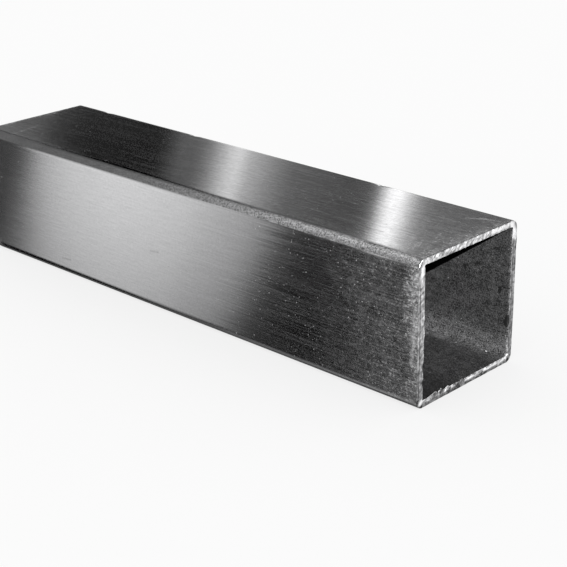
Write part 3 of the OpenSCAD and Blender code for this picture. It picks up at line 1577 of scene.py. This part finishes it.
@dataclass(frozen=True)
class Studio:
    """The pale floor, the soft room light, the key lamp and the cards that the steel mirrors."""

    floor_half: float = 20.0
    floor_colour: float = 0.86
    floor_glow: float = 0.78
    room: float = 1.0
    dim_glow: float = 0.0055
    dim_radius: float = 40.0
    far_share: float = 0.7
    back_share: float = 0.8
    key_place: Point = (0.36, -0.22, 0.235)
    key_target: Point = (0.084, 0.0, 0.019)
    key_radius: float = 0.0003
    key_power: float = 97.0
    key_cone: float = math.radians(11.1)
    key_blend: float = 0.475
    flag_share: float = 0.6
    flag_reach: Span = (0.0, 0.0876)
    flag_back: float = 0.03
    cards: tuple[Card, ...] = (
        Card("front_softbox",
             ((-1.45, 0.06), (-1.266, 0.06), (-1.256, 0.28), (-1.244, 0.70), (-1.226, 0.80), (-1.18, 0.93),
              (-1.14, 1.00), (-1.09, 1.02), (-1.05, 0.98), (-1.00, 0.88), (-0.96, 0.70), (-0.92, 0.57),
              (-0.89, 0.42), (-0.86, 0.10), (-0.84, 0.03), (-0.8, 0.0)),
             ((158.0, 0.0), (175.0, 0.35), (190.0, 0.75), (203.0, 1.15), (208.0, 1.15), (211.0, 0.72),
              (216.0, 0.45), (224.0, 0.28), (235.0, 0.1), (245.0, 0.0)),
             taper=0.03, taper_from=206.0, middle=-0.95, cells=(200, 24)),
        Card("top_softbox",
             ((-1.4, 0.26), (-1.25, 0.13), (-1.225, 0.055), (-1.20, 0.03), (-1.17, 0.012), (-1.06, 0.0),
              (-1.048, 0.015), (-1.034, 0.07), (-1.022, 0.14), (-1.006, 0.12), (-0.994, 0.16), (-0.982, 0.27),
              (-0.970, 0.50), (-0.957, 0.84), (-0.946, 1.07), (-0.938, 0.95), (-0.930, 0.60), (-0.914, 0.49),
              (-0.900, 0.35), (-0.886, 0.24), (-0.872, 0.16), (-0.80, 0.085), (-0.777, 0.09), (-0.767, 0.2),
              (-0.759, 1.15), (-0.751, 1.85), (-0.742, 1.65), (-0.732, 0.85), (-0.723, 0.42), (-0.712, 0.24),
              (-0.70, 0.17), (-0.60, 0.11), (-0.52, 0.09), (-0.42, 0.0)),
             ((-15.0, 0.0), (5.0, 0.9), (15.0, 1.1), (22.0, 1.1), (27.0, 0.9), (33.0, 0.62), (42.0, 0.3),
              (56.0, 0.0)),
             radius=34.0, cells=(400, 24)),
        Card("side_softbox",
             mirrored((0.08, 0.42), (0.25, 0.30), (0.44, 0.16), (0.54, 0.0)),
             ((150.0, 0.0), (165.0, 0.6), (185.0, 1.0), (205.0, 1.0), (225.0, 0.8), (250.0, 0.4),
              (262.0, 0.0)),
             radius=37.0, cells=(64, 24), copied=(False, True)),
        Card("overhead_softbox",
             mirrored((0.0, 0.46), (0.14, 0.36), (0.28, 0.42), (0.36, 0.58), (0.42, 0.54), (0.50, 0.36),
                      (0.64, 0.30), (0.85, 0.22), (1.0, 0.0)),
             ((34.0, 0.0), (50.0, 0.85), (75.0, 1.0), (105.0, 1.0), (130.0, 0.85), (146.0, 0.0)),
             radius=38.0, cells=(80, 40), copied=(False, False)),
        Card("floor_bounce",
             mirrored((0.0, 0.30), (0.26, 0.24), (0.42, 0.34), (0.58, 0.25), (0.85, 0.18), (1.0, 0.0)),
             ((219.0, 0.0), (234.0, 0.8), (256.0, 1.0), (284.0, 1.0), (306.0, 0.8), (321.0, 0.0)),
             radius=38.0, cells=(64, 40), copied=(False, False)),
    )

    def build(self) -> None:
        """Sets up the whole studio."""
        self.lay_floor()
        self.light_room()
        self.hang_dim_tunnel()
        self.place_key()
        self.hang_flag()
        for card in self.cards:
            for mirror_x in sorted({False, card.copied[0]}):
                for mirror_y in sorted({False, card.copied[1]}):
                    share = (self.far_share if mirror_x else 1.0) * (self.back_share if mirror_y else 1.0)
                    card.build(mirror_x, mirror_y, share)

    def lay_floor(self) -> None:
        """Lays a pale matt floor that glows a little, so that shadows on it stay soft."""
        half = self.floor_half
        mesh = bpy.data.meshes.new("floor")
        mesh.from_pydata([(-half, -half, 0.0), (half, -half, 0.0), (half, half, 0.0), (-half, half, 0.0)],
                         [], [(0, 1, 2, 3)])
        made, wires = new_material("floor")
        grey = self.floor_colour * (1.0 - self.floor_glow)
        both = {0: wires.put("BsdfDiffuse", {"Color": (grey, grey, grey, 1.0)}),
                1: wires.put("Emission", {"Strength": self.floor_glow})}
        wires.add("OutputMaterial", {"Surface": wires.put("AddShader", both)})
        mesh.materials.append(made)
        floor = hang("floor", mesh)
        floor.visible_glossy = False
        floor.visible_shadow = False

    def light_room(self) -> None:
        """Lights the room evenly, for the floor and the backdrop and not for the steel's reflections."""
        world = bpy.data.worlds.new("room")
        world.use_nodes = True
        background = world.node_tree.nodes["Background"]
        background.inputs["Color"].default_value = (1.0, 1.0, 1.0, 1.0)
        background.inputs["Strength"].default_value = self.room
        world.cycles_visibility.glossy = False
        bpy.context.scene.world = world

    def hang_dim_tunnel(self) -> None:
        """Closes the studio with a dim dome, which is what the steel mirrors beside the cards."""
        Card("dim_dome", ((-1.0, self.dim_glow), (1.0, self.dim_glow)), ((0.0, 1.0), (360.0, 1.0)),
             radius=self.dim_radius, cells=(8, 32)).build()

    def place_key(self) -> None:
        """Hangs a small spot lamp, which lights the near cut and the hollow behind it."""
        lamp = bpy.data.lights.new("key_lamp", "SPOT")
        lamp.energy = self.key_power
        lamp.shadow_soft_size = self.key_radius
        lamp.spot_size = self.key_cone
        lamp.spot_blend = self.key_blend
        # Only shadowed light counts, so that the flag also stops the lamp's mirror image
        lamp.cycles.use_multiple_importance_sampling = False
        key = hang("key_lamp", lamp)
        key.location = self.key_place
        aim = Vector(self.key_target) - Vector(self.key_place)
        key.rotation_mode = "QUATERNION"
        key.rotation_quaternion = aim.to_track_quat("-Z", "Y")
        key.visible_camera = False
        key.visible_diffuse = False

    def hang_flag(self) -> None:
        """Hangs a flag that only shades: it keeps the key lamp off the top and front flats."""
        top, front = 2.0 * STOCK.half_side, -STOCK.half_side
        edges = ((self.flag_back, top), (front, top), (front, 0.0))
        lamp = Vector(self.key_place)
        points = [lamp.lerp(Vector((x, y, z)), self.flag_share) for y, z in edges for x in self.flag_reach]
        mesh = bpy.data.meshes.new("key_flag")
        mesh.from_pydata([tuple(point) for point in points], [], [(0, 1, 3, 2), (2, 3, 5, 4)])
        flag = hang("key_flag", mesh)
        reflections_only(flag)
        flag.visible_glossy = False
        flag.visible_shadow = True


@dataclass(frozen=True)
class Viewpoint:
    """The camera at the photograph's viewing angle: a long lens, turned and tipped towards the tube."""

    lens: float = 90.345
    sensor: float = 36.0
    clip: Span = (0.01, 100.0)
    place: Point = (0.28271, -0.26818, 0.16166)
    heading: float = math.radians(44.0766)
    tip: float = math.radians(67.9989)
    roll: float = math.radians(-0.9605)

    def build(self) -> None:
        """Makes the camera and sets it as the scene's."""
        data = bpy.data.cameras.new("viewpoint")
        data.lens = self.lens
        data.sensor_width = self.sensor
        data.clip_start, data.clip_end = self.clip
        camera = hang("viewpoint", data)
        turn = Euler((self.tip, 0.0, self.heading)).to_matrix() @ Euler((0.0, 0.0, self.roll)).to_matrix()
        camera.rotation_mode = "QUATERNION"
        camera.rotation_quaternion = turn.to_quaternion()
        camera.location = self.place
        bpy.context.scene.camera = camera


def tube_finishes() -> tuple[Finish, ...]:
    """Gives the finish of every region, in the order of the regions."""
    upright = BrushedFlat(marks=(
        Mark((-0.0525, -0.02, 0.0052), (-0.0485, -0.02, 0.0056), 0.0006, -0.12),
        Mark((-0.0105, -0.02, 0.0180), (-0.0070, -0.02, 0.0184), 0.0006, -0.10),
        Mark((0.0856, -0.02, 0.0120), (0.0864, -0.02, 0.0270), 0.0012, dulls=0.22, ragged=0.003),
    ))
    level = BrushedFlat(
        name="brushed_level",
        roughness=0.125,
        combed=CombedNormal(length=0.010),
        comb_ramp=(-0.030, 0.030, 0.0045, 0.0045),
        lines=(BrushLines(length=0.008, width=0.0010, contrast=1.8), 0.15),
        mottle=(Grain(0.0013, 2.0, 6.0), 0.17),
        film_lines=BrushLines(length=0.035, width=0.0008, contrast=3.0, detail=1.5, shift=31.0),
        film_grain=Grain(0.0008, 3.0, 4.4),
        film_mix=0.65,
        film_share=0.009,
        film_power=3.5,
        film_cap=0.05,
        film_gain=(0.8, 1.0),
        haze_share=0.10,
        haze_tilt=0.9,
        haze_wear=CutWear(reach=0.036, ragged=0.012, pitch=0.008, far_share=0.05),
        fringe_share=0.16,
        fringe_wear=CutWear(reach=0.003, ragged=0.005, pitch=0.0025, far_share=0.6),
        speck_share=0.006,
        stray_share=0.006,
        dots=Specks(spacing=0.0055, size=0.14, share=0.6, shift=2.9),
        dot_strength=0.30,
        marks=(
            Mark((0.0773, 0.0114, 0.04), (0.0816, 0.0140, 0.04), 0.0006, dulls=0.28, ragged=0.0006),
            Mark((0.0801, 0.0139, 0.04), (0.0854, 0.0148, 0.04), 0.0006, dulls=0.30, ragged=0.0006),
            Mark((0.0745, 0.0178, 0.04), (0.0865, 0.0150, 0.04), 0.0004, dulls=0.08, ragged=0.0012),
            Mark((-0.0875, -0.0186, 0.0398), (-0.0530, -0.0186, 0.0398), 0.0030, dulls=0.065, ragged=0.001),
            Mark((-0.0850, -0.0180, 0.04), (-0.0480, -0.0185, 0.04), 0.0080, dulls=0.03, ragged=0.001),
            Mark((-0.0762, -0.0180, 0.04), (-0.0775, -0.0080, 0.04), 0.0010, dulls=0.09, ragged=0.0006),
            Mark((-0.0875, -0.0120, 0.04), (-0.0815, -0.0120, 0.04), 0.0065, dulls=0.03, ragged=0.001),
        ))
    return upright, level, RolledCorner(), RawInside(), SawnEnd()


def dress_tube(tube: SquareTube) -> bpy.types.Object:
    """Makes the tube's piece, gives it its finishes and hangs it on the part's body.

    Args:
        tube: The tube's sizes and mesh.

    Returns:
        The piece.
    """
    mesh = tube.mesh()
    for finish in tube_finishes():
        mesh.materials.append(finish.material())
    piece = hang("square_tube", mesh)
    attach(piece, BODY)
    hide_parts("tube")
    return piece


def main() -> None:
    """Builds the studio, the camera and the tube, and reports the piece."""
    logging.basicConfig(level=logging.INFO, format="%(name)s: %(message)s")
    bpy.context.scene.view_settings.view_transform = "Standard"
    bpy.context.scene.cycles.caustics_reflective = False
    Viewpoint().build()
    Studio().build()
    piece = dress_tube(SquareTube())
    LOG.info("%s: %d vertices, %d faces", piece.name, len(piece.data.vertices), len(piece.data.polygons))


if __name__ == "__main__":
    main()
